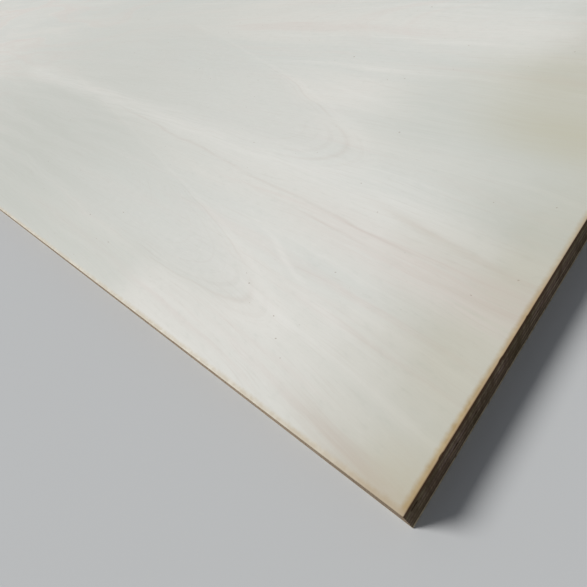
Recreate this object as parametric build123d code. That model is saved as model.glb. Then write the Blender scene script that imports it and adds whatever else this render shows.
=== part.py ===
"""Plywood sheet: thin peeled veneers glued with the grain crossed from one to the next.

The sheet lies flat, with its length along X, its width along Y and its thickness along Z.
The origin is at the middle of the underside. Every veneer is a piece of its own.
The face and the back are peeled in one piece. The inner veneers are laid up from clipped
strips, butted side by side with a narrow open joint. The clipped edges run a little out of
square, and the joints are staggered, so that no two neighbouring plies open at one place.
The saw left the edges square. Sanding the face eased its arris, all round, to a small round.
"""

import os

from build123d import *

os.makedirs("parts", exist_ok=True)

# Sheet as it is sold
sheet_length = 2440.0
sheet_width = 1220.0
sheet_thickness = 18.0

# Veneers: crossbands have the grain across the sheet, and a centre ply lies between each two
face_thickness = 0.5
back_thickness = 0.5
crossband_count = 6

# Round that sanding left on the outer arris of the face
arris_radius = 0.25

# Strips that the inner veneers are laid up from
crossband_strip_width = 640.0
center_strip_width = 430.0
narrowest_strip = 110.0
crossband_stagger = 236.0
center_stagger = 147.0

# Open joint between two strips, and how far its clipped edges lean over their whole length
joint_gap = 0.8
joint_lean = 5.0

# Inner plies share what the face and the back leave
inner_ply_count = 2 * crossband_count - 1
inner_ply_thickness = (sheet_thickness - face_thickness - back_thickness) / inner_ply_count


def whole_veneer(thickness):
    """One veneer as large as the sheet, resting on Z = 0."""
    return extrude(Rectangle(sheet_length, sheet_width).face(), thickness)


def sanded_face():
    """The face veneer, with the arris of its outer side eased to a small round."""
    veneer = whole_veneer(face_thickness)
    arris = veneer.faces().sort_by(Axis.Z)[-1].edges()
    return fillet(arris, arris_radius)


def joint_places(span, strip_width, stagger, number):
    """Joints across the span, measured from its middle: the first strip is trimmed to stagger them."""
    trim_range = strip_width - narrowest_strip
    place = narrowest_strip + (number * stagger) % trim_range
    places = []
    while place < span - narrowest_strip:
        places.append(place - span / 2)
        place += strip_width
    return places


def strip_sides(span, places, number):
    """Sides of the strips, each as its place at the near and the far end of the grain."""
    outer = (span + joint_gap) / 2
    sides = [(-outer, -outer)]
    for index, place in enumerate(places):
        lean = joint_lean / 2 * (-1) ** (index + number)
        sides.append((place - lean, place + lean))
    sides.append((outer, outer))
    return sides


def veneer_strip(left, right, grain_length, thickness):
    """One clipped strip between two sides, set back from each by half of the open joint."""
    inset = joint_gap / 2
    near = -grain_length / 2
    far = grain_length / 2
    outline = Polyline(
        (left[0] + inset, near),
        (right[0] - inset, near),
        (right[1] - inset, far),
        (left[1] + inset, far),
        close=True,
    )
    return extrude(make_face(outline), thickness)


def strip_veneer(span, grain_length, strip_width, stagger, number):
    """An inner veneer of strips side by side along X, with the grain along Y, on Z = 0."""
    places = joint_places(span, strip_width, stagger, number)
    sides = strip_sides(span, places, number)
    strips = []
    for left, right in zip(sides, sides[1:]):
        strips.append(veneer_strip(left, right, grain_length, inner_ply_thickness))
    return strips


def crossband(number):
    """Inner veneer with the grain across the sheet."""
    return strip_veneer(sheet_length, sheet_width, crossband_strip_width, crossband_stagger, number)


def center_ply(number):
    """Inner veneer with the grain along the sheet: the same lay-up, turned a quarter."""
    strips = strip_veneer(sheet_width, sheet_length, center_strip_width, center_stagger, number)
    return [Rot(0, 0, 90) * strip for strip in strips]


def save(name, solids, bottom):
    """Write one veneer at its height in the sheet."""
    placed = [Pos(0, 0, bottom) * solid for solid in solids]
    export_step(Compound(children=placed, label=name), f"parts/{name}.step")


def build():
    """Lay the sheet up from the back to the face, numbering the plies from the face down."""
    save("back_veneer", [whole_veneer(back_thickness)], 0)
    bottom = back_thickness
    for number in range(crossband_count, 0, -1):
        save(f"crossband_{number}", crossband(number), bottom)
        bottom += inner_ply_thickness
        if number > 1:
            save(f"center_ply_{number - 1}", center_ply(number - 1), bottom)
            bottom += inner_ply_thickness
    save("face_veneer", [sanded_face()], bottom)


build()
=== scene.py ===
"""Looks of the plywood sheet: sawn veneer edges, sanded pale face, floor, light and camera."""

import math

import bpy
import numpy as np
from mathutils import Matrix, Vector


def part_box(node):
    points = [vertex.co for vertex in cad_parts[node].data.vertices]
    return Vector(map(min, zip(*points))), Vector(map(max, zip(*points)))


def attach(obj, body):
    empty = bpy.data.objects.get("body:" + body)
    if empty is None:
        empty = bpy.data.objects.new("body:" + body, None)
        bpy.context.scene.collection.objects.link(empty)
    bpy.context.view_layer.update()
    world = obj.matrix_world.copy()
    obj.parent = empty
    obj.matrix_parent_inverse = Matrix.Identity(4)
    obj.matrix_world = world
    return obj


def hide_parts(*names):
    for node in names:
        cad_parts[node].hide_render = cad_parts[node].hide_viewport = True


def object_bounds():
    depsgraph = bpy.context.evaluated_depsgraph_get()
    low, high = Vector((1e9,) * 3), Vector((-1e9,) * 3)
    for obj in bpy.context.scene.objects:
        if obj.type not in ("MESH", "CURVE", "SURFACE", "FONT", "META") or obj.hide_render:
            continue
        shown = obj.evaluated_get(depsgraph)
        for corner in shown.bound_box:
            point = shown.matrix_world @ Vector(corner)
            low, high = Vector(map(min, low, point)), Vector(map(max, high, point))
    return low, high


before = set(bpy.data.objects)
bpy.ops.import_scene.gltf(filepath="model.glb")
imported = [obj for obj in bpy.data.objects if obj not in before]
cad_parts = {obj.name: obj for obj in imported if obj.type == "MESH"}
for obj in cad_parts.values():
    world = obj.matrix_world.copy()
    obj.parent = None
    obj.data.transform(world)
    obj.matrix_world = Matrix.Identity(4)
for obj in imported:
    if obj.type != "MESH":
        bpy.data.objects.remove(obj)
cad_low, cad_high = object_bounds()

MM = 0.001
half_length = cad_high.x
half_width = cad_high.y
thickness = cad_high.z
photo_corner = Vector((half_length, -half_width, thickness))

# Places on the face are given as a distance from the photographed end and from the long side
# that it meets, in metres. A seed fixes every random draw.
seed = 4127

# Mesh of the sawn edges: fine near the photographed corner, coarser further off
fine_step = 0.7 * MM
coarse_step = 5.0 * MM
fine_reach = 160 * MM
fade_reach = 500 * MM
span_samples = 20001
joint_steps = 6
ply_rows = (0.0, 0.12, 0.5, 0.88, 1.0)
cap_inset = 8.0 * MM
edge_tolerance = 0.01 * MM
sharp_angle = math.radians(35)

# Random lines: how many knots a line has before it repeats, and a number for each line
knot_count = 4096
line_names = ("saw wander", "saw phase", "saw strength", "pores", "coarse pores", "pulled fibres",
              "fibres", "short fibres", "splinters", "core pockets", "skin fibres", "chips")
line = {name: number for number, name in enumerate(line_names, start=1)}

# Sawn edge relief, as depths cut into the edge and pitches along it
saw_wander_depth = 0.10 * MM
saw_wander_pitch = 180 * MM
saw_mark_depth = 0.035 * MM
saw_mark_pitch = 1.7 * MM
saw_phase_swing = 5
saw_phase_pitch = 30 * MM
saw_strength_pitch = 45 * MM
end_grain_recess = 0.10 * MM
pore_pitch = 1.1 * MM
coarse_pore_pitch = 4 * MM
long_grain_recess = 0.03 * MM
fibre_pitch = 9 * MM
short_fibre_pitch = 2.2 * MM
skin_fibre_pitch = 3 * MM

# Nicks, each as its pitch, its chance in a pitch, its greatest width and its greatest depth.
# The smallest nick has these shares of them.
pulled_fibres = (34 * MM, 0.35, 5 * MM, 0.5 * MM)
splinters = (60 * MM, 0.4, 26 * MM, 0.35 * MM)
core_pockets = (310 * MM, 0.4, 9 * MM, 3.2 * MM)
least_width = 0.3
least_depth = 0.35

# Chips on the outer arrises, on the ends and then on the long sides: across the grain they are
# narrow and deep, along it long and shallow
face_chip_depths = (0.3 * MM, 0.12 * MM)
back_chip_depths = (2.2 * MM, 0.5 * MM)
chip_widths = (3.0 * MM, 14.0 * MM)
chip_pitches = (16 * MM, 70 * MM)
face_chip_chance = 0.3
back_chip_chance = 0.7
glue_side_chips = 0.3

# Deep cuts keep this clear of the sheet's corners and come in over the next distance
corner_clear = 2 * MM
corner_ease = 5 * MM

# Round of the outer arrises, and the border of the face and the back that sanding wore down
arris_radius = 0.25 * MM
arris_turns = np.radians([0, 30, 60, 90])
sanding_drop = 0.10 * MM
sanding_reach = 9.0 * MM
sanding_rows = (0.06, 0.14, 0.3, 0.6, 1.0)


def paint(red, green, blue):
    """Colour as a picture shows it, 0 to 255 for each channel, turned into shader values."""
    screen = np.array([red, green, blue]) / 255
    linear = np.where(screen <= 0.04045, screen / 12.92, ((screen + 0.055) / 1.055) ** 2.4)
    return (*linear.tolist(), 1.0)


def smooth_step(value):
    """Zero below 0, one above 1, and an easy S between."""
    t = np.clip(value, 0, 1)
    return t * t * (3 - 2 * t)


def wander(place, pitch, key):
    """Smooth random line between 0 and 1: random heights at knots one pitch apart, eased between."""
    knots = np.random.default_rng([seed, *key]).random(knot_count)
    steps = place / pitch + knot_count // 2
    index = np.floor(steps).astype(int)
    share = smooth_step(steps - index)
    return knots[index % knot_count] * (1 - share) + knots[(index + 1) % knot_count] * share


def bites(place, key, pitch, chance, width, depth):
    """Random nicks along an edge: at most one to a pitch, each a hollow with a half-circle section."""
    shift, wide, deep, luck = np.random.default_rng([seed, *key]).random((4, knot_count))
    cell = np.floor(place / pitch).astype(int)
    total = np.zeros_like(place)
    for offset in (-1, 0, 1):
        pick = (cell + offset) % knot_count
        middle = (cell + offset + shift[pick]) * pitch
        half = width * (least_width + (1 - least_width) * wide[pick]) / 2
        hollow = np.sqrt(np.clip(1 - ((place - middle) / half) ** 2, 0, None))
        height = depth * (least_depth + (1 - least_depth) * deep[pick])
        total = np.maximum(total, hollow * height * (luck[pick] < chance))
    return total


def graded_steps(start, end, focus, aside):
    """Places from start to end, close together near the focus and wider apart away from it.

    The side lies aside from the focus by the last number, so that a far side is coarse all along.
    """
    span = np.linspace(start, end, span_samples)
    away = smooth_step((np.hypot(span - focus, aside) - fine_reach) / fade_reach)
    step = fine_step + (coarse_step - fine_step) * away
    walked = np.concatenate([[0], np.cumsum(np.abs(np.diff(span)) * 2 / (step[1:] + step[:-1]))])
    count = max(2, int(round(walked[-1])))
    return np.interp(np.linspace(0, walked[-1], count + 1), walked, span)


def sawn_axis(start, end):
    """0 where both ends of a side lie on an end of the sheet, 1 on a long side, None inside a joint."""
    for axis, half in enumerate((half_length, half_width)):
        on_both = min(abs(start[axis]), abs(end[axis])) > half - edge_tolerance
        if on_both and start[axis] * end[axis] > 0:
            return axis
    return None


def perimeter(corners):
    """Points once round a four-sided outline, anticlockwise: graded on sawn sides, few in joints."""
    parts = []
    for start, end in zip(corners, np.roll(corners, -1, axis=0)):
        axis = sawn_axis(start, end)
        if axis is None:
            share = np.linspace(0, 1, joint_steps)[:, None]
        else:
            along = 1 - axis
            aside = start[axis] - photo_corner[axis]
            places = graded_steps(start[along], end[along], photo_corner[along], aside)
            share = ((places - start[along]) / (end[along] - start[along]))[:, None]
        parts.append((start + (end - start) * share)[:-1])
    return np.concatenate(parts)


def cut_in(points, end_depth, side_depth):
    """Outline cut inwards: by end_depth where it lies on an end, by side_depth on a long side."""
    cut = points.copy()
    on_end = np.abs(points[:, 0]) > half_length - edge_tolerance
    on_side = np.abs(points[:, 1]) > half_width - edge_tolerance
    cut[:, 0] -= np.where(on_end, np.sign(points[:, 0]) * end_depth, 0)
    cut[:, 1] -= np.where(on_side, np.sign(points[:, 1]) * side_depth, 0)
    return cut


def drawn_in(points, inset):
    """Outline of the whole sheet shrunk so that every side comes in by the same inset."""
    return points * (1 - inset / np.array([half_length, half_width]))


def plain_ring(outline, inset, height):
    """Uncut outline of one strip, shrunk about its middle by the inset on every side."""
    low, high = outline.min(axis=0), outline.max(axis=0)
    middle, half = (low + high) / 2, (high - low) / 2
    flat = middle + (outline - middle) * (1 - inset / half)
    return np.hstack([flat, np.full((len(flat), 1), height)])


def off_corner(points):
    """Zero at the sheet's corners and one a few millimetres along, to keep deep cuts off them."""
    to_end = half_length - np.abs(points[:, 0])
    to_side = half_width - np.abs(points[:, 1])
    return smooth_step((np.maximum(to_end, to_side) - corner_clear) / corner_ease)


def saw_cut(place, side):
    """Depth that the saw left along a side, the same in every ply: a slow wander and a sine of marks."""
    slow = wander(place, saw_wander_pitch, (side, line["saw wander"])) * saw_wander_depth
    phase = saw_phase_swing * wander(place, saw_phase_pitch, (side, line["saw phase"]))
    marks = 0.5 + 0.5 * np.sin(2 * np.pi * place / saw_mark_pitch + phase)
    strength = wander(place, saw_strength_pitch, (side, line["saw strength"]))
    return slow + marks * strength * saw_mark_depth


def grain_relief(place, side, ply, shows_end_grain, share):
    """Depths of one ply's sawn fibres and of its torn ones, deepest halfway between the glue lines.

    The belly is a parabola over the ply's thickness: zero at both glue lines and one halfway.
    """
    belly = 4 * share * (1 - share)
    if shows_end_grain:
        pores = wander(place, pore_pitch, (side, ply, line["pores"])) * 0.6
        pores += wander(place, coarse_pore_pitch, (side, ply, line["coarse pores"])) * 0.4
        pulled = bites(place, (side, ply, line["pulled fibres"]), *pulled_fibres)
        return end_grain_recess * (0.4 + 0.6 * belly) * (0.4 + pores), pulled * (0.35 + 0.65 * belly)
    fibres = wander(place, fibre_pitch, (side, ply, line["fibres"])) * 0.7
    fibres += wander(place, short_fibre_pitch, (side, ply, line["short fibres"])) * 0.3
    torn = bites(place, (side, ply, line["splinters"]), *splinters)
    return long_grain_recess * (0.5 + 0.5 * belly) * (0.3 + fibres), torn * belly


def core_voids(place, side, ply, share):
    """Pockets where the inner veneer had a knot hole or a gap: few, deep and short.

    Over the ply's thickness each is as deep as a half circle.
    """
    belly = np.sqrt(np.clip(4 * share * (1 - share), 0, 1))
    return bites(place, (side, ply, line["core pockets"]), *core_pockets) * belly


def edge_depths(points, ply, grain_axis, share):
    """Depths on the ends and on the long sides for every outline point of an inner ply."""
    depths = []
    for axis in (0, 1):
        place = points[:, 1 - axis]
        depth = np.zeros(len(points))
        for sign in (-1, 1):
            side = 2 * axis + (sign > 0)
            fibres, torn = grain_relief(place, side, ply, grain_axis == axis, share)
            torn += core_voids(place, side, ply, share)
            cut = saw_cut(place, side) + fibres + torn * off_corner(points)
            depth = np.where(np.sign(points[:, axis]) == sign, cut, depth)
        depths.append(depth)
    return depths


def skin_points(rings):
    """Points of a closed skin: ring after ring, then the middle of the first and of the last ring."""
    ends = rings[[0, -1]]
    middles = (ends.min(axis=1) + ends.max(axis=1)) / 2
    return np.concatenate([rings.reshape(-1, 3), middles])


def skin_faces(rings, count, first):
    """Faces of a closed skin: quads from ring to ring, and a flat fan to a middle at either end."""
    j = np.arange(count)
    right = (j + 1) % count
    faces = []
    for ring in range(rings - 1):
        low = first + ring * count
        high = low + count
        faces += np.stack([low + j, low + right, high + right, high + j], axis=1).tolist()
    last = first + (rings - 1) * count
    low_middle = np.full(count, first + rings * count)
    faces += np.stack([low_middle, first + right, first + j], axis=1).tolist()
    faces += np.stack([low_middle + 1, last + j, last + right], axis=1).tolist()
    return faces


def veneer_mesh(name, skins, tones):
    """One mesh from several closed skins, each of rings by points by 3, with a tone for each."""
    faces = []
    parts = []
    shades = []
    first = 0
    for rings, tone in zip(skins, tones):
        faces += skin_faces(rings.shape[0], rings.shape[1], first)
        parts.append(skin_points(rings))
        shades.append(np.full(len(parts[-1]), tone, dtype=np.float32))
        first += len(parts[-1])
    points = np.concatenate(parts)
    tone = np.concatenate(shades)
    mesh = bpy.data.meshes.new(name)
    mesh.from_pydata(points.tolist(), [], faces)
    mesh.attributes.new("strip_tone", "FLOAT", "POINT").data.foreach_set("value", tone)
    mesh.shade_smooth()
    mesh.set_sharp_from_angle(angle=sharp_angle)
    mesh.update()
    return mesh


def new_piece(name, node, mesh, material):
    """Put a finished mesh in the scene in place of its node, with the given material."""
    piece = bpy.data.objects.new(name, mesh)
    bpy.context.scene.collection.objects.link(piece)
    mesh.materials.append(material)
    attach(piece, "root")
    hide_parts(node)


def strip_corners(node, across):
    """Corners of every strip of a veneer, anticlockwise, read from the flat top of its node."""
    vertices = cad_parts[node].data.vertices
    points = np.empty(len(vertices) * 3)
    vertices.foreach_get("co", points)
    flat = np.unique(np.round(points.reshape(-1, 3)[:, :2], 6), axis=0)
    along = 1 - across
    near = flat[flat[:, along] < 0]
    far = flat[flat[:, along] > 0]
    near = near[np.argsort(near[:, across])]
    far = far[np.argsort(far[:, across])]
    strips = []
    for left in range(0, len(near), 2):
        corners = np.array([near[left], near[left + 1], far[left + 1], far[left]])
        strips.append(corners if across == 0 else corners[::-1])
    return strips


def inner_veneer(node, ply, grain_axis):
    """Rings of every strip of an inner ply: its outline at rows up the ply, cut in by the relief."""
    low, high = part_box(node)
    skins = []
    for corners in strip_corners(node, 1 - grain_axis):
        outline = perimeter(corners)
        rings = [plain_ring(outline, cap_inset, low.z)]
        for share in ply_rows:
            flat = cut_in(outline, *edge_depths(outline, ply, grain_axis, share))
            height = np.full((len(flat), 1), low.z + (high.z - low.z) * share)
            rings.append(np.hstack([flat, height]))
        rings.append(plain_ring(outline, cap_inset, high.z))
        skins.append(np.array(rings))
    return skins


def outer_profile():
    """Profile of an outer veneer from its glue side over the arris.

    Each row has an inset, a drop from the skin and the shares of the saw's cut and of the chips.
    The arris is a quarter circle. Past it the surface climbs the last sanding drop along a
    parabola, and both cuts fade to nothing. A drop of None stands for the glue side.
    """
    rows = [(cap_inset, None, 0.0, 0.0), (0.0, None, 1.0, glue_side_chips)]
    for turn in arris_turns:
        inset = arris_radius * (1 - math.cos(turn))
        drop = arris_radius * (1 - math.sin(turn)) + sanding_drop
        rows.append((inset, drop, 1.0, 1.0))
    for t in sanding_rows:
        inset = arris_radius + t * (sanding_reach - arris_radius)
        rows.append((inset, sanding_drop * (1 - t) ** 2, 1 - t, 1 - t))
    return rows


def skin_depths(outline, ply, face_up, saw_share, chip_share):
    """Depths on the ends and on the long sides for every outline point of the face or the back."""
    chance = face_chip_chance if face_up else back_chip_chance
    chip_depths = face_chip_depths if face_up else back_chip_depths
    depths = []
    for axis in (0, 1):
        place = outline[:, 1 - axis]
        depth = np.zeros(len(outline))
        for sign in (-1, 1):
            side = 2 * axis + (sign > 0)
            fibres = wander(place, skin_fibre_pitch, (side, ply, line["skin fibres"]))
            cut = saw_cut(place, side) + long_grain_recess * fibres
            chips = bites(place, (side, ply, line["chips"]), chip_pitches[axis], chance,
                          chip_widths[axis], chip_depths[axis])
            cut = cut * saw_share + chips * off_corner(outline) * chip_share
            depth = np.where(np.sign(outline[:, axis]) == sign, cut, depth)
        depths.append(depth)
    return depths


def outer_veneer(node, ply, face_up):
    """Rings of the face or the back: a thin wall, a rounded arris and a border that sanding wore."""
    low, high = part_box(node)
    glue_z, skin_z, up = (low.z, high.z, 1) if face_up else (high.z, low.z, -1)
    corners = np.array([(-half_length, -half_width), (half_length, -half_width),
                        (half_length, half_width), (-half_length, half_width)])
    outline = perimeter(corners)
    rings = []
    for inset, drop, saw_share, chip_share in outer_profile():
        flat = cut_in(outline, *skin_depths(outline, ply, face_up, saw_share, chip_share))
        z = glue_z if drop is None else skin_z - up * drop
        rings.append(np.hstack([drawn_in(flat, inset), np.full((len(flat), 1), z)]))
    return [np.array(rings if face_up else rings[::-1])]


class Shader:
    """Short words for the nodes of one material."""

    def __init__(self, name):
        self.material = bpy.data.materials.new(name)
        self.material.use_nodes = True
        self.tree = self.material.node_tree
        self.surface = self.tree.nodes["Principled BSDF"]

    def node(self, kind, **settings):
        made = self.tree.nodes.new(kind)
        for key, value in settings.items():
            setattr(made, key, value)
        return made

    def feed(self, socket, value):
        if isinstance(value, bpy.types.NodeSocket):
            self.tree.links.new(value, socket)
        else:
            socket.default_value = value

    def math(self, operation, first, second=0.0, third=0.0):
        made = self.node("ShaderNodeMath", operation=operation)
        for socket, value in zip(made.inputs, (first, second, third)):
            self.feed(socket, value)
        return made.outputs[0]

    def add(self, first, second):
        return self.math("ADD", first, second)

    def less(self, first, second):
        return self.math("SUBTRACT", first, second)

    def times(self, first, second):
        return self.math("MULTIPLY", first, second)

    def spread(self, value, low, high, to_low=0.0, to_high=1.0):
        """Value from low to high taken smoothly to the range to_low to to_high."""
        made = self.node("ShaderNodeMapRange", interpolation_type="SMOOTHSTEP")
        for socket, number in zip(made.inputs, (value, low, high, to_low, to_high)):
            self.feed(socket, number)
        return made.outputs[0]

    def fade(self, value, reach, near=1.0, far=0.0):
        """Stays near up to the first number of the reach and turns smoothly to far at the second."""
        return self.spread(value, *reach, near, far)

    def bell(self, value, middle, half):
        """One at the middle, fading smoothly to nothing a half width away on each side."""
        away = self.math("ABSOLUTE", self.less(value, middle))
        return self.fade(away, (0.0, half))

    def mix(self, share, first, second, blend="MIX"):
        made = self.node("ShaderNodeMix", data_type="RGBA", blend_type=blend)
        self.feed(made.inputs["Factor"], share)
        self.feed(made.inputs[6], first)
        self.feed(made.inputs[7], second)
        return made.outputs[2]

    def lay(self, colour, value, layer, share=1.0):
        """Lay a tint over a colour, rising with the value over the layer's window to its strength."""
        low, high, strength, tint = layer
        risen = self.spread(value, low, high, 0.0, strength)
        return self.mix(self.times(risen, share), colour, tint)

    def place(self):
        """Object coordinates and their three parts."""
        coordinates = self.node("ShaderNodeTexCoord").outputs["Object"]
        parts = self.node("ShaderNodeSeparateXYZ")
        self.feed(parts.inputs[0], coordinates)
        return coordinates, tuple(parts.outputs)

    def facing(self, axis):
        """How far the surface faces along an axis, from 0 to 1."""
        parts = self.node("ShaderNodeSeparateXYZ")
        self.feed(parts.inputs[0], self.node("ShaderNodeNewGeometry").outputs["Normal"])
        return self.math("ABSOLUTE", parts.outputs[axis])

    def stretched(self, coordinates, scale, shift=(0.0, 0.0, 0.0)):
        made = self.node("ShaderNodeMapping")
        self.feed(made.inputs["Vector"], coordinates)
        made.inputs["Scale"].default_value = scale
        made.inputs["Location"].default_value = shift
        return made.outputs[0]

    def noise(self, vector, detail, rough, twist=0.0):
        made = self.node("ShaderNodeTexNoise")
        self.feed(made.inputs["Vector"], vector)
        made.inputs["Scale"].default_value = 1.0
        made.inputs["Detail"].default_value = detail
        made.inputs["Roughness"].default_value = rough
        made.inputs["Distortion"].default_value = twist
        return made.outputs[0]

    def line_noise(self, value, scale, detail, rough):
        """Random line over a single value, so that equal values get an equal shade."""
        made = self.node("ShaderNodeTexNoise", noise_dimensions="1D")
        self.feed(made.inputs["W"], value)
        made.inputs["Scale"].default_value = scale
        made.inputs["Detail"].default_value = detail
        made.inputs["Roughness"].default_value = rough
        return made.outputs[0]

    def bump(self, height, distance, strength, below=None):
        made = self.node("ShaderNodeBump")
        self.feed(made.inputs["Height"], height)
        made.inputs["Distance"].default_value = distance
        made.inputs["Strength"].default_value = strength
        if below is not None:
            self.feed(made.inputs["Normal"], below)
        return made.outputs[0]

    def finish(self, colour, roughness, normal, gloss):
        self.feed(self.surface.inputs["Base Color"], colour)
        self.feed(self.surface.inputs["Roughness"], roughness)
        self.feed(self.surface.inputs["Normal"], normal)
        self.surface.inputs["Specular IOR Level"].default_value = gloss
        return self.material


# Colours of the pale face
face_cream = paint(219, 218, 213)
face_white = paint(226, 225, 221)
face_green_grey = paint(210, 212, 208)
face_pink = paint(214, 207, 202)
face_tan = paint(190, 180, 169)
face_line = paint(184, 170, 161)
face_yellow = paint(190, 187, 168)
face_grey = paint(197, 200, 194)
# Painted shade far along the long side
far_painted_shade = paint(196, 198, 192)
speck_brown = paint(140, 122, 104)
# Darkening towards the end: partly a stain, partly painted shade
end_stain_and_shade = paint(230, 229, 223)
arris_gold = paint(168, 144, 102)
arris_straw = paint(188, 170, 133)
arris_peach = paint(192, 168, 136)
arris_cream = paint(206, 197, 180)
arris_tan = paint(176, 160, 136)
arris_glint = paint(219, 213, 199)
arris_scorched = paint(92, 60, 32)
arris_sawn = paint(188, 178, 161)
arris_sawn_dull = paint(124, 109, 88)
corner_dull = paint(184, 177, 158)

# Colours of the inner plies, of the glue between them and of the back
ply_tan = paint(198, 189, 175)
ply_brown = paint(162, 148, 131)
side_dull = paint(98, 88, 74)
# The first colour darkens end grain and is also painted shade on the sheet's ends; the olive is painted
# shade only
end_grain_and_shade_dark = paint(79, 60, 46)
end_shade_olive = paint(76, 63, 41)
end_scorched = paint(78, 50, 27)
glue_brown = paint(78, 52, 33)
back_cream = paint(206, 192, 164)
back_shade = paint(184, 168, 138)
back_streak = paint(176, 150, 120)
back_fibre = paint(150, 124, 96)
back_sawn_dark = paint(96, 80, 58)
back_sawn_pale = paint(214, 204, 172)

# Patterns in the wood: pitch across and along the grain, shift, detail, roughness and twist
wood_patterns = {
    "drift": (0.04, 0.11, 0.0, 2.0, 0.5, 0.0),
    "hills": (0.10, 0.60, 1.9, 1.5, 0.45, 0.3),
    "slow bands": (0.06, 0.6, 3.1, 3.0, 0.55, 0.4),
    "bands": (0.012, 0.30, 7.7, 4.0, 0.6, 0.5),
    "breaks": (0.02, 0.12, 21.0, 2.0, 0.5, 0.0),
    "mottle": (0.0028, 0.007, 33.0, 3.0, 0.6, 0.0),
    "handling_and_shade": (0.05, 0.05, 12.0, 2.0, 0.5, 0.0),
    "streak fibres": (0.0022, 0.06, 30.0, 3.0, 0.65, 0.0),
    "face fibres": (0.0008, 0.04, 5.3, 3.0, 0.62, 0.0),
    "face pores": (0.00035, 0.006, 9.1, 1.0, 0.5, 0.0),
    "specks": (0.0022, 0.0030, 40.0, 0.0, 0.5, 0.0),
    "ragged": (0.0022, 0.0022, 2.3, 3.0, 0.65, 0.0),
    "uneven": (0.03, 0.03, 6.3, 2.0, 0.6, 0.0),
    "patchy": (0.0045, 0.0045, 8.8, 2.0, 0.6, 0.0),
    "ply below": (0.012, 0.03, 4.4, 2.0, 0.5, 0.0),
    "ply streaks": (0.0011, 0.03, 0.0, 3.0, 0.6, 0.0),
    "ply patches": (0.006, 0.02, 2.0, 2.0, 0.5, 0.0),
    "ply pores": (0.0004, 0.002, 5.0, 2.0, 0.6, 0.0),
    "back slow bands": (0.09, 0.8, 12.4, 3.0, 0.55, 0.4),
    "back bands": (0.018, 0.35, 15.2, 3.0, 0.6, 0.4),
    "back fibres": (0.001, 0.04, 18.6, 3.0, 0.6, 0.0),
    "back breaks": (0.006, 0.006, 3.8, 3.0, 0.65, 0.0),
}

# Axis that the grain runs along
grain_along_sheet = 0
grain_across_sheet = 1


def pattern(shader, coordinates, name, axis=grain_along_sheet, extra_shift=0.0):
    """Noise of a wood pattern: fine steps across the grain and long ones on the grain axis."""
    across_pitch, along_pitch, shift, detail, rough, twist = wood_patterns[name]
    scale = [1 / across_pitch] * 3
    scale[axis] = 1 / along_pitch
    shift += extra_shift
    place = shader.stretched(coordinates, scale, (shift, shift * 0.7, shift * 1.3))
    return shader.noise(place, detail, rough, twist)


# Grain of the face near the photographed corner. It swings away from the long side and drifts a
# little. Each tongue has its tip's distance from the end and from the side, its slope and width.
grain_swing = 0.15
swing_rate = 2.0
drift_swing = 0.014
near_end = (0.5, 0.9)
near_side = (0.24, 0.36)
low_tongue = (0.114, 0.037, 0.19, 0.0065)
high_tongue = (0.133, 0.146, 0.25, 0.0125)
tongue_blend = 0.02
hill_height = 2.4
cream_window = (0.34, 0.62)

# Tints of the face, each as the window of its pattern where it rises, its strength and its colour
pink_bands = (0.54, 0.72, 0.55, face_pink)
white_bands = (0.46, 0.28, 0.50, face_white)
grey_tongues = (-0.01, 0.05, 0.7, face_green_grey)
pink_periods = (0.50, 0.66, 0.55, face_pink)
grey_periods = (0.50, 0.36, 0.55, face_green_grey)
grey_rings = (0.50, 0.68, 0.35, face_green_grey)
white_mottle = (0.52, 0.75, 0.22, face_white)
grey_mottle = (0.48, 0.25, 0.22, face_grey)
fibre_lines = (0.50, 0.78, 0.14, face_line)
speck_dots = (0.862, 0.885, 0.5, speck_brown)

# Growth rings: steps to a unit of level, detail and roughness, then the windows, half widths and
# strengths of the single marks
period_lines = (5.5, 3.0, 0.55)
period_swing = 0.25
period_near_loss = 0.8
ring_lines = (26.0, 3.0, 0.65)
hair_lines = (70.0, 2.0, 0.6)
hair_strength = 0.075
hair_half = 0.035
outline_strength = 0.15
outline_half = 0.005
tongue_rim = (-0.02, 0.02)
tongue_rim_strength = 0.25
break_window = (0.38, 0.62)
plain_window = (-0.006, -0.03)
plain_strength = 0.9
pore_window = (0.66, 0.80)
pore_strength = 0.16

# Surface of the face: roughness from pale to dark fibres, gloss, and depth and strength of bumps
face_roughness = (0.50, 0.62)
face_gloss = 0.15
fibre_bump = (0.00006, 0.35)
pore_bump = (-0.00005, 0.15)
ply_below_bump = (0.00012, 0.25)

# Reaches over the face: an effect is whole up to the first number and gone at the second. The dulling
# towards the end is partly a stain and partly painted shade. The far grey is painted shade; it comes in
# over its start, and is uneven from one band to the next.
dull_reach = (0.008, 0.085)
dull_strength = 0.95
dull_side = (0.25, 0.60)
dull_far_share = 0.3
yellow_reach = (0.004, 0.034)
yellow_strength = 0.25
handling_and_shade_swing = 0.05
grey_start = (0.13, 0.50)
grey_stop = (0.55, 1.30)
grey_near_side = (0.10, 0.24)
grey_far_side = (0.24, 0.55)
grey_bands = (0.35, 0.65, 0.95, 0.70)
corner_dull_reach = (0.002, 0.032)
corner_dull_strength = 0.75
corner_dull_mottle = (0.30, 0.60, 0.70, 1.0)

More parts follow.
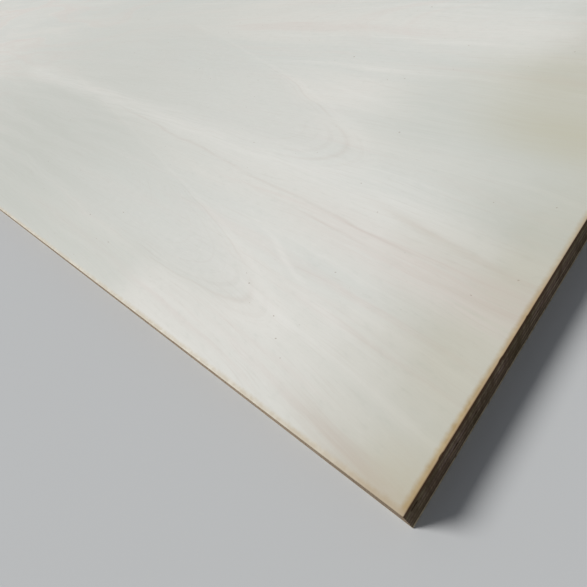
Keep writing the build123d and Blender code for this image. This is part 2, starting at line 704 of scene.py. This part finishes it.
# Streaks near the photographed corner: where each meets the end, how much it rises away from the
# end, its half width, where along the sheet it starts and stops, its colour and its strength
corner_streaks = {
    "pale ridge": (0.112, 0.105, 0.021, 0.02, 0.80, face_white, 0.44),
    "pale middle": (0.060, 0.080, 0.0320, 0.09, 0.20, face_white, 0.28),
    "pink heart": (0.078, 0.150, 0.020, -0.02, 0.13, face_pink, 0.60),
    "tan stain": (0.083, 0.160, 0.0170, -0.05, 0.050, face_tan, 0.42),
    "tan stain top": (0.0935, 0.250, 0.0040, -0.05, 0.085, face_tan, 0.40),
    "tan stain low": (0.080, 0.080, 0.0030, -0.04, 0.05, face_tan, 0.35),
    "middle line": (0.0845, 0.155, 0.0018, 0.03, 0.42, face_line, 0.20),
    "middle line low": (0.075, 0.170, 0.0012, 0.05, 0.18, face_line, 0.12),
    "slanting gleam": (0.0165, 0.435, 0.0028, 0.075, 0.155, face_white, 0.60),
    "slanting gleam low": (0.0308, 0.230, 0.0034, 0.035, 0.10, face_white, 0.50),
    "side gleam": (0.0145, 0.004, 0.0034, 0.07, 0.34, face_white, 0.28),
    "side blush": (0.0175, 0.030, 0.0022, 0.03, 0.15, face_pink, 0.35),
    "side grey": (0.0080, 0.010, 0.0400, 0.18, 1.20, face_grey, 0.60),
    "low tongue grey": (0.026, 0.020, 0.0130, 0.11, 0.26, face_grey, 0.30),
    "corner stain": (0.0020, 0.200, 0.0090, -0.05, 0.050, face_tan, 0.85),
    "upper line": (0.168, 0.270, 0.0014, -0.02, 0.16, face_line, 0.14),
    "upper gleam": (0.150, 0.300, 0.0032, 0.09, 0.20, face_white, 0.45),
    "upper grey": (0.165, 0.250, 0.0750, -0.02, 0.14, face_grey, 0.78),
    "upper tint": (0.172, 0.240, 0.0300, -0.02, 0.07, face_yellow, 0.72),
    "upper tint far": (0.205, 0.240, 0.0400, -0.02, 0.09, face_yellow, 0.50),
}
streak_start_length = 0.04
streak_stop = (-0.05, 0.03)
streak_fibre_window = (0.30, 0.62)
wide_streak = 0.03
faintest_narrow = 0.35
faintest_wide = 0.80

# Worn arrises: distances from the edge, then from the photographed corner where the wear changes,
# then how it varies along the edge
gold_reach = (0.0008, 0.0032)
peach_reach = (0.0004, 0.0011)
scorch_reach = (0.0001, 0.0008)
cream_reach = (0.0007, 0.0030)
sawn_reach = (0.0001, 0.0005)
end_wall_reach = (0.0004, 0.0012)
gold_swing = 0.0014
cream_swing = 0.0020
tip_reach = (0.004, 0.030)
wear_change = (0.035, 0.065)
wear_fade = (0.080, 0.115)
tan_near = (0.008, 0.038)
tan_far = (0.05, 0.11)
sawn_dull_reach = (0.010, 0.085)
gold_variation = (0.3, 0.7, 0.90, 1.06)
cream_variation = (0.3, 0.7, 0.85, 1.05)
straw_patches = (0.40, 0.68, 0.0, 0.7)
glint_patches = (0.47, 0.64)
gold_narrowing = 0.00035

# Slopes of the surface at which its sawn wall begins, on a long side and on an end
side_wall = (0.15, 0.60)
end_wall = (0.40, 0.95)


def tongue(shader, from_end, from_side, tip_end, tip_side, slope, width):
    """How far a point is inside a parabola that opens away from the photographed end.

    It is the distance behind the tip, less the square of the distance from the sloping axis
    over the width.
    """
    back = shader.less(from_end, tip_end)
    axis = shader.less(shader.less(from_side, tip_side), shader.times(back, slope))
    side = shader.math("DIVIDE", shader.times(axis, axis), width)
    return shader.less(back, side)


def flow(shader, from_end, from_side):
    """Place across the grain, which swings away from the long side ever more slowly.

    The swing is the distance from the end over one plus the rate times that distance.
    """
    swing = shader.math("DIVIDE", from_end, shader.add(1.0, shader.times(from_end, swing_rate)))
    return shader.less(from_side, shader.times(swing, grain_swing))


class FacePlace:
    """Where a point of the face lies: distances, place in the grain and level of the growth rings.

    The level has tongues at the photographed corner and slow hills everywhere else.
    """

    def __init__(self, s):
        self.coordinates, (x, y, _) = s.place()
        self.from_end = s.less(half_length, x)
        self.to_end = s.less(half_length, s.math("ABSOLUTE", x))
        self.to_side = s.less(half_width, s.math("ABSOLUTE", y))
        drift = s.less(pattern(s, self.coordinates, "drift"), 0.5)
        self.from_side = s.add(s.add(y, half_width), s.times(drift, drift_swing))
        square = s.add(s.times(self.from_end, self.from_end), s.times(self.from_side, self.from_side))
        self.from_corner = s.math("SQRT", square)
        self.near = s.times(s.fade(self.from_end, near_end), s.fade(self.from_side, near_side))
        lie = s.node("ShaderNodeCombineXYZ")
        s.feed(lie.inputs[0], self.from_end)
        s.feed(lie.inputs[1], flow(s, self.from_end, self.from_side))
        self.grain = lie.outputs[0]
        low = tongue(s, self.from_end, self.from_side, *low_tongue)
        high = tongue(s, self.from_end, self.from_side, *high_tongue)
        self.tongues = s.math("SMOOTH_MAX", low, high, tongue_blend)
        hills = s.times(s.less(pattern(s, self.grain, "hills"), 0.5), hill_height)
        self.level = s.add(s.times(self.tongues, self.near), s.times(hills, s.less(1.0, self.near)))
        self.bands = pattern(s, self.grain, "bands")
        self.mottle = pattern(s, self.grain, "mottle")


def banded(s, p):
    """Green-grey and cream ground with pink and white bands, and broad shades of growth periods."""
    slow = pattern(s, p.grain, "slow bands")
    colour = s.mix(s.spread(slow, *cream_window), face_green_grey, face_cream)
    colour = s.lay(colour, p.bands, pink_bands)
    colour = s.lay(colour, p.bands, white_bands)
    colour = s.lay(colour, p.tongues, grey_tongues, p.near)
    rim = s.times(s.bell(p.tongues, *tongue_rim), s.times(p.near, tongue_rim_strength))
    colour = s.mix(rim, colour, face_white)
    swung = s.add(p.level, s.times(s.less(slow, 0.5), period_swing))
    periods = s.line_noise(swung, *period_lines)
    afar = s.less(1.0, s.times(p.near, period_near_loss))
    colour = s.lay(colour, periods, pink_periods, afar)
    return s.lay(colour, periods, grey_periods, afar)


def ringed(s, p, colour):
    """Rings: contours of the level, uneven in spacing and in strength, and broken along the grain."""
    plain = s.times(s.spread(p.tongues, *plain_window), s.times(p.near, plain_strength))
    breaks = s.spread(pattern(s, p.grain, "breaks"), *break_window)
    broken = s.times(breaks, s.less(1.0, plain))
    colour = s.lay(colour, s.line_noise(p.level, *ring_lines), grey_rings, broken)
    hair = s.bell(s.line_noise(p.level, *hair_lines), 0.5, hair_half)
    colour = s.mix(s.times(hair, s.times(broken, hair_strength)), colour, face_line)
    outline = s.times(s.bell(p.tongues, 0.0, outline_half), s.times(broken, outline_strength))
    return s.mix(s.times(outline, p.near), colour, face_line)


def dulled(s, p, colour):
    """The sheet is duller and yellower towards its end, partly a stain and partly painted shade, and
    greyer far along the photographed side, which is painted shade.
    """
    handling_and_shade = s.less(pattern(s, p.coordinates, "handling_and_shade"), 0.5)
    reach = s.add(p.from_end, s.times(handling_and_shade, handling_and_shade_swing))
    dull = s.fade(reach, dull_reach, dull_strength)
    dull = s.times(dull, s.fade(p.from_side, dull_side, 1.0, dull_far_share))
    # Painted shade, with some stain, towards the end
    colour = s.mix(dull, colour, end_stain_and_shade, "MULTIPLY")
    colour = s.mix(s.fade(reach, yellow_reach, yellow_strength), colour, face_yellow)
    # Painted shade far along the long side, uneven band by band
    grey = s.times(s.fade(p.from_end, grey_stop), s.fade(p.from_side, grey_near_side, 1.0, 0.5))
    grey = s.times(grey, s.fade(p.from_side, grey_far_side))
    grey = s.times(grey, s.spread(p.bands, *grey_bands))
    return s.mix(s.times(s.spread(p.from_end, *grey_start), grey), colour, far_painted_shade)


def streaked(s, p, colour):
    """Single streaks that the sheet has near the photographed corner, each a soft sloping band."""
    fibres = pattern(s, p.grain, "streak fibres")
    for side, rise, half, start, stop, tint, strength in corner_streaks.values():
        off = s.less(p.from_side, s.add(side, s.times(p.from_end, rise)))
        begun = s.spread(p.from_end, start, start + streak_start_length)
        ends = s.times(begun, s.fade(p.from_end, (stop + streak_stop[0], stop + streak_stop[1])))
        faintest = faintest_narrow if half < wide_streak else faintest_wide
        body = s.times(s.bell(off, 0.0, half), s.fade(fibres, streak_fibre_window, faintest, 1.0))
        colour = s.mix(s.times(s.times(body, ends), strength), colour, tint)
    return colour


def worn(s, p, colour):
    """Arrises that sanding wore down, where the glue and the next ply glow through, and sawn walls."""
    ragged = s.less(pattern(s, p.coordinates, "ragged"), 0.5)
    uneven = pattern(s, p.coordinates, "uneven")
    patchy = pattern(s, p.coordinates, "patchy")

    # Ends: gold, with a peach line at the edge and a scorched one outside it
    off_tip = s.fade(p.from_corner, tip_reach, 0.25, 1.0)
    faded = s.fade(p.from_corner, wear_fade, 1.0, 0.6)
    wear = s.times(s.fade(p.from_corner, wear_change, 1.0, 0.80), s.spread(uneven, *gold_variation))
    wear = s.times(wear, faded)
    straw = s.times(s.spread(patchy, *straw_patches), off_tip)
    gold = s.mix(straw, arris_gold, arris_straw)
    narrower = s.fade(p.from_corner, wear_change, 0.0, gold_narrowing)
    end_place = s.add(s.add(p.to_end, narrower), s.times(ragged, gold_swing))
    colour = s.mix(s.times(s.fade(end_place, gold_reach, 0.95), wear), colour, gold)
    peach = s.times(s.fade(p.to_end, peach_reach, 0.7), s.times(off_tip, faded))
    colour = s.mix(peach, colour, arris_peach)
    burnt = s.times(s.fade(p.from_corner, wear_change, 0.4, 0.1), faded)
    colour = s.mix(s.times(s.fade(p.to_end, scorch_reach), burnt), colour, arris_scorched)

    # Long sides: cream with pale glints, tan at the corner, and a sawn line at the edge
    side_place = s.add(p.to_side, s.times(ragged, cream_swing))
    side_wear = s.times(s.fade(side_place, cream_reach, 0.9), s.spread(uneven, *cream_variation))
    cream = s.mix(s.spread(patchy, *glint_patches), arris_cream, arris_glint)
    tan = s.times(s.fade(p.from_corner, tan_near, 0.95, 0.35), s.fade(p.from_corner, tan_far))
    colour = s.mix(side_wear, colour, s.mix(tan, cream, arris_tan))
    sawn = s.mix(s.fade(p.from_corner, sawn_dull_reach, 0.9), arris_sawn, arris_sawn_dull)
    colour = s.mix(s.fade(p.to_side, sawn_reach, 0.6), colour, sawn)

    # The sawn side of the veneer is dark at the end, where the blade scorched the glue under it
    level = s.facing(2)
    at_end = s.fade(p.to_end, end_wall_reach)
    colour = s.mix(s.times(s.fade(level, side_wall, 0.85), s.less(1.0, at_end)), colour, sawn)
    return s.mix(s.times(s.fade(level, end_wall, 0.9), at_end), colour, arris_scorched)


def face_material():
    """Sanded pale face: slow bands, flat-grain tongues, fine fibres and pores, golden arrises."""
    s = Shader("pale_sanded_face")
    p = FacePlace(s)
    colour = ringed(s, p, banded(s, p))
    colour = s.lay(colour, p.mottle, white_mottle)
    colour = s.lay(colour, p.mottle, grey_mottle)
    colour = streaked(s, p, dulled(s, p, colour))

    fibres = pattern(s, p.grain, "face fibres")
    pores = s.spread(pattern(s, p.grain, "face pores"), *pore_window)
    colour = s.lay(colour, fibres, fibre_lines)
    colour = s.mix(s.times(pores, pore_strength), colour, face_line)
    colour = s.lay(colour, pattern(s, p.coordinates, "specks"), speck_dots)
    handled = s.fade(p.from_corner, corner_dull_reach, corner_dull_strength)
    handled = s.times(handled, s.spread(p.mottle, *corner_dull_mottle))
    colour = worn(s, p, s.mix(handled, colour, corner_dull))

    roughness = s.spread(fibres, 0.3, 0.7, *face_roughness)
    relief = s.bump(fibres, *fibre_bump)
    relief = s.bump(pores, *pore_bump, relief)
    ply_below = pattern(s, p.coordinates, "ply below", grain_across_sheet)
    relief = s.bump(ply_below, *ply_below_bump, relief)
    return s.finish(colour, roughness, relief, face_gloss)


# Looks of the sawn plies: widths in metres of the glue line and of the scorch under the face, the share
# of painted shade on the sheet's ends from clean to blotched, and how dull the long side is near the
# photographed end
glue_line = (0.00003, 0.00014)
glue_strength = 0.45
scorch_depth = (0.0012, 0.0034)
scorch_strength = 0.85
blotch_scale = (230.0, 230.0, 70.0)
slow_blotch_scale = (45.0, 45.0, 30.0)
end_shade_shares = (0.52, 0.82)
slow_end_shade_share = 0.14
side_dull_reach = (0.012, 0.065)
side_dull_share = 0.42
ply_roughness = 0.82
ply_gloss = 0.1
streak_bump = (0.00012, 0.5)
ply_pore_bump = (0.00008, 0.5)
blotch_bump = (0.00015, 0.5)
back_roughness = 0.62
back_gloss = 0.3
back_fibre_bump = (0.00008, 0.4)


def inner_material(name, node, grain_axis, tone, shift, pale):
    """Sawn edge of an inner ply: long grain on two sides, end grain on the others, dark glue lines, and
    painted shade over the sheet's ends.
    """
    s = Shader(name)
    low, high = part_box(node)
    coordinates, (x, _, z) = s.place()
    end_grain = s.spread(s.facing(grain_axis), 0.55, 0.85)
    strip = s.node("ShaderNodeAttribute", attribute_name="strip_tone").outputs["Fac"]

    streak = pattern(s, coordinates, "ply streaks", grain_axis, shift)
    patch = pattern(s, coordinates, "ply patches", grain_axis, shift)
    pores = pattern(s, coordinates, "ply pores", grain_axis, shift)
    blotch = s.noise(s.stretched(coordinates, blotch_scale), 5.0, 0.7)
    slow_blotch = s.noise(s.stretched(coordinates, slow_blotch_scale), 2.0, 0.5)

    share = s.add(s.times(streak, 0.45), s.times(patch, 0.55))
    share = s.add(share, s.times(s.less(strip, 0.5), 0.12))
    long_colour = s.mix(s.spread(share, 0.36, 0.6), ply_brown, ply_tan)
    cut_colour = s.mix(s.spread(pores, 0.35, 0.6), ply_brown, ply_tan)
    colour = s.mix(end_grain, long_colour, s.mix(0.45, cut_colour, end_grain_and_shade_dark))
    colour = s.mix(1.0, colour, tone, "MULTIPLY")

    from_glue = s.math("MINIMUM", s.less(z, low.z), s.less(high.z, z))
    glue = s.times(s.fade(from_glue, glue_line, glue_strength), s.spread(patch, 0.3, 0.6, 0.4, 1.0))
    colour = s.mix(glue, colour, glue_brown)

    # The sheet's ends get a mottled painted shade over their darker end grain, and the long side is dull
    # beside it
    on_end = s.spread(s.facing(0), 0.5, 0.9)
    dark = s.spread(blotch, 0.36, 0.66, *end_shade_shares)
    dark = s.add(dark, s.spread(slow_blotch, 0.35, 0.65, 0.0, slow_end_shade_share))
    shade = s.mix(s.spread(slow_blotch, 0.40, 0.60), end_grain_and_shade_dark, end_shade_olive)
    colour = s.mix(s.times(on_end, dark), colour, shade)
    dull = s.fade(s.less(half_length, x), side_dull_reach, side_dull_share)
    colour = s.mix(s.times(s.less(1.0, on_end), dull), colour, side_dull)
    scorch = s.fade(s.less(thickness, z), scorch_depth, scorch_strength)
    colour = s.mix(scorch, colour, s.mix(on_end, glue_brown, end_scorched))

    # Surfaces facing up or down, seen only inside a void or an open joint, are darkened towards the
    # glue's brown: partly glue stain, partly painted shade in the hollow
    glue_and_void_shade = s.spread(s.facing(2), 0.6, 0.9, 0.0, 0.7)
    colour = s.mix(glue_and_void_shade, colour, glue_brown)
    colour = s.mix(s.times(pale, s.spread(blotch, 0.3, 0.5)), colour, back_cream)

    relief = s.bump(streak, *streak_bump)
    relief = s.bump(pores, *ply_pore_bump, relief)
    relief = s.bump(blotch, *blotch_bump, relief)
    return s.finish(colour, ply_roughness, relief, ply_gloss)


def back_material():
    """Plain cream back veneer: broader grain than the face, the odd darker streak, sanded."""
    s = Shader("cream_back")
    coordinates, _ = s.place()
    slow = pattern(s, coordinates, "back slow bands")
    fibres = pattern(s, coordinates, "back fibres")
    colour = s.mix(s.spread(slow, 0.35, 0.65), back_shade, back_cream)
    colour = s.lay(colour, pattern(s, coordinates, "back bands"), (0.5, 0.72, 0.6, back_streak))
    colour = s.lay(colour, fibres, (0.5, 0.75, 0.2, back_fibre))
    upright = s.fade(s.facing(2), (0.2, 0.6), 0.85)
    broken = s.spread(pattern(s, coordinates, "back breaks"), 0.42, 0.6)
    colour = s.mix(upright, colour, s.mix(broken, back_sawn_dark, back_sawn_pale))
    return s.finish(colour, back_roughness, s.bump(fibres, *back_fibre_bump), back_gloss)


# Lightness of the inner plies: least, spread, and how much less low in the sheet and under the face
ply_lightness = 0.88
ply_lightness_spread = 0.12
low_ply_shade = 0.22
low_ply_start = 0.42
low_ply_fade = 0.4
top_ply_shade = 0.14
top_ply_start = 0.86
top_ply_fade = 0.06
lowest_ply_paleness = 0.7

# Numbers that fix the random lines of each veneer and the draw of its tints
face_number = 1
back_number = 2
first_inner_number = 3
tint_draw = 99
outer_tone = 0.5
pattern_step = 1.7


def ply_tone(draws, middle):
    """Tint of one inner ply: a random lightness, darker low in the sheet and under the face."""
    lightness = ply_lightness + ply_lightness_spread * draws.random()
    lightness -= low_ply_shade * float(smooth_step((low_ply_start - middle) / low_ply_fade))
    lightness -= top_ply_shade * float(smooth_step((middle - top_ply_start) / top_ply_fade))
    green = lightness * (0.94 + 0.04 * draws.random())
    blue = lightness * (0.88 + 0.08 * draws.random())
    return paint(*[round(255 * value) for value in (lightness, green, blue)])


def build_sheet():
    """Every veneer of the sheet, the face first, each in place of its node."""
    draws = np.random.default_rng([seed, tint_draw])
    cored = sorted(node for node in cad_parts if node.startswith(("crossband", "center_ply")))
    face = veneer_mesh("sanded_face", outer_veneer("face_veneer", face_number, True), [outer_tone])
    new_piece("sanded_face", "face_veneer", face, face_material())
    back = veneer_mesh("back_face", outer_veneer("back_veneer", back_number, False), [outer_tone])
    new_piece("back_face", "back_veneer", back, back_material())
    lowest_inner = min(cored, key=lambda node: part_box(node)[0].z)
    for ply, node in enumerate(cored, start=first_inner_number):
        kind = node.rsplit("_", 1)[0]
        grain_axis = grain_across_sheet if kind == "crossband" else grain_along_sheet
        skins = inner_veneer(node, ply, grain_axis)
        low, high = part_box(node)
        tone = ply_tone(draws, (low.z + high.z) / 2 / thickness)
        pale = lowest_ply_paleness if node == lowest_inner else 0.0
        name = "sawn_" + node
        material = inner_material(name, node, grain_axis, tone, pattern_step * ply, pale)
        mesh = veneer_mesh(name, skins, draws.random(len(skins)))
        new_piece(name, node, mesh, material)


# Floor, and the backdrop seen past it
floor_half = 30.0
floor_grey = paint(184, 186, 188)
floor_roughness = 0.9
floor_gloss = 0.1
backdrop_grey = paint(186, 187, 187)


def build_floor():
    """Plain pale floor under the sheet."""
    mesh = bpy.data.meshes.new("floor")
    corners = [(-floor_half, -floor_half, 0), (floor_half, -floor_half, 0),
               (floor_half, floor_half, 0), (-floor_half, floor_half, 0)]
    mesh.from_pydata(corners, [], [(0, 1, 2, 3)])
    floor = bpy.data.objects.new("floor", mesh)
    bpy.context.scene.collection.objects.link(floor)
    s = Shader("pale_floor")
    s.surface.inputs["Base Color"].default_value = floor_grey
    s.surface.inputs["Roughness"].default_value = floor_roughness
    s.surface.inputs["Specular IOR Level"].default_value = floor_gloss
    mesh.materials.append(s.material)


# Light: a soft key from beyond the long side, away from the photographed end, and an even surround
key_from = Vector((-0.75, -0.62, 0.95))
key_strength = 3.5
key_softness = math.radians(22)
key_colour = (1.0, 0.985, 0.955)
surround_level = 0.26
surround_colour = paint(236, 240, 246)


def build_light():
    """Soft sun and an even surround, with a plain backdrop where it is seen or mirrored."""
    key = bpy.data.lights.new("key", "SUN")
    key.energy = key_strength
    key.angle = key_softness
    key.color = key_colour
    lamp = bpy.data.objects.new("key", key)
    lamp.rotation_euler = key_from.to_track_quat("Z", "Y").to_euler()
    bpy.context.scene.collection.objects.link(lamp)

    world = bpy.data.worlds.new("surround")
    world.use_nodes = True
    bpy.context.scene.world = world
    nodes, links = world.node_tree.nodes, world.node_tree.links
    light = nodes["Background"]
    light.inputs["Color"].default_value = surround_colour
    light.inputs["Strength"].default_value = surround_level
    seen = nodes.new("ShaderNodeBackground")
    seen.inputs["Color"].default_value = backdrop_grey
    seen.inputs["Strength"].default_value = 1.0
    path = nodes.new("ShaderNodeLightPath")
    shows = path.outputs["Is Camera Ray"]
    for kind in ("Is Glossy Ray", "Is Transmission Ray"):
        either = nodes.new("ShaderNodeMath")
        either.operation = "MAXIMUM"
        links.new(shows, either.inputs[0])
        links.new(path.outputs[kind], either.inputs[1])
        shows = either.outputs[0]
    mix = nodes.new("ShaderNodeMixShader")
    links.new(shows, mix.inputs["Fac"])
    links.new(light.outputs[0], mix.inputs[1])
    links.new(seen.outputs[0], mix.inputs[2])
    links.new(mix.outputs[0], nodes["World Output"].inputs["Surface"])


# Camera as the photo was taken: a hand-held close view over the corner, turned on its side
camera_from_corner = Vector((40.1, -8.2, 154.1)) * MM
aim_from_corner = Vector((-93.0, 51.0, 0.0)) * MM
camera_roll = math.radians(-32.6)
camera_lens = 27.6
camera_sensor = 36.0
camera_near = 0.01
camera_far = 100


def build_camera():
    """Camera over the photographed corner, aimed at a point of the face and rolled about its axis."""
    place = photo_corner + camera_from_corner
    forward = (photo_corner + aim_from_corner - place).normalized()
    level_right = forward.cross(Vector((0, 0, 1))).normalized()
    level_up = level_right.cross(forward)
    right = level_right * math.cos(camera_roll) + level_up * math.sin(camera_roll)
    up = right.cross(forward)
    data = bpy.data.cameras.new("camera")
    data.lens = camera_lens
    data.sensor_width = camera_sensor
    data.clip_start = camera_near
    data.clip_end = camera_far
    camera = bpy.data.objects.new("camera", data)
    turn = Matrix((right, up, -forward)).transposed()
    camera.matrix_world = Matrix.Translation(place) @ turn.to_4x4()
    bpy.context.scene.collection.objects.link(camera)
    bpy.context.scene.camera = camera


build_camera()
build_floor()
build_light()
build_sheet()

bpy.context.scene.view_settings.view_transform = "Standard"
